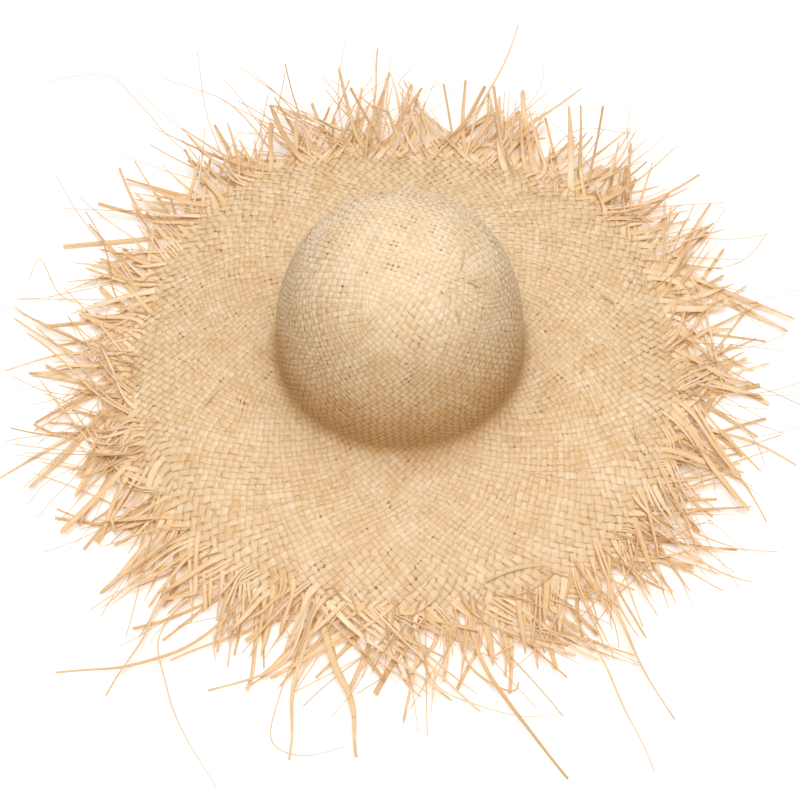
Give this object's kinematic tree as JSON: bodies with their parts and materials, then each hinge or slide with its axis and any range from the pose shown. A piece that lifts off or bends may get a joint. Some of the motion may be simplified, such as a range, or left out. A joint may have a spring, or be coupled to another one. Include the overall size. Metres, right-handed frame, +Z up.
{
  "type": "straw sun hat",
  "caption": "Wide-brimmed woven raffia sun hat with a tall domed crown, a frayed fringe round the brim and a ribbon sweatband inside.",
  "frame": {"origin": "on the surface that the hat stands on, under the middle of the fringe's outline, which is the crown's axis", "axes": "+Z up through the crown's tip, -Y towards the front of the hat, +X to the viewer's right when looking at the front"},
  "size_m": [0.624, 0.664, 0.1659],
  "materials": {
    "woven raffia": "natural raffia, woven, matt with a slight sheen",
    "loose raffia": "natural raffia, frayed",
    "ribbon": "ribbed cotton ribbon, matt",
    "thread": "sewing thread"
  },
  "bodies": {
    "root": {"crown": "woven raffia", "brim": "woven raffia", "fringe_lock_01": "loose raffia", "fringe_lock_02": "loose raffia", "fringe_lock_03": "loose raffia", "fringe_lock_04": "loose raffia", "fringe_lock_05": "loose raffia", "fringe_lock_06": "loose raffia", "fringe_lock_07": "loose raffia", "fringe_lock_08": "loose raffia", "fringe_lock_09": "loose raffia", "fringe_lock_10": "loose raffia", "fringe_lock_11": "loose raffia", "fringe_lock_12": "loose raffia", "fringe_lock_13": "loose raffia", "fringe_lock_14": "loose raffia", "fringe_lock_15": "loose raffia", "fringe_lock_16": "loose raffia", "fringe_lock_17": "loose raffia", "fringe_lock_18": "loose raffia", "fringe_lock_19": "loose raffia", "fringe_lock_20": "loose raffia", "fringe_lock_21": "loose raffia", "fringe_lock_22": "loose raffia", "fringe_lock_23": "loose raffia", "fringe_lock_24": "loose raffia", "fringe_lock_25": "loose raffia", "fringe_lock_26": "loose raffia", "fringe_lock_27": "loose raffia", "fringe_lock_28": "loose raffia", "fringe_lock_29": "loose raffia", "fringe_lock_30": "loose raffia", "fringe_lock_31": "loose raffia", "fringe_lock_32": "loose raffia", "fringe_lock_33": "loose raffia", "fringe_lock_34": "loose raffia", "fringe_lock_35": "loose raffia", "fringe_lock_36": "loose raffia", "fringe_lock_37": "loose raffia", "fringe_lock_38": "loose raffia", "fringe_lock_39": "loose raffia", "fringe_lock_40": "loose raffia", "fringe_lock_41": "loose raffia", "fringe_lock_42": "loose raffia", "fringe_lock_43": "loose raffia", "fringe_lock_44": "loose raffia", "fringe_lock_45": "loose raffia", "fringe_lock_46": "loose raffia", "fringe_lock_47": "loose raffia", "fringe_lock_48": "loose raffia", "sweatband": "ribbon", "sweatband_join_tab": "ribbon", "sweatband_thread": "thread"}
  },
  "joints": []
}
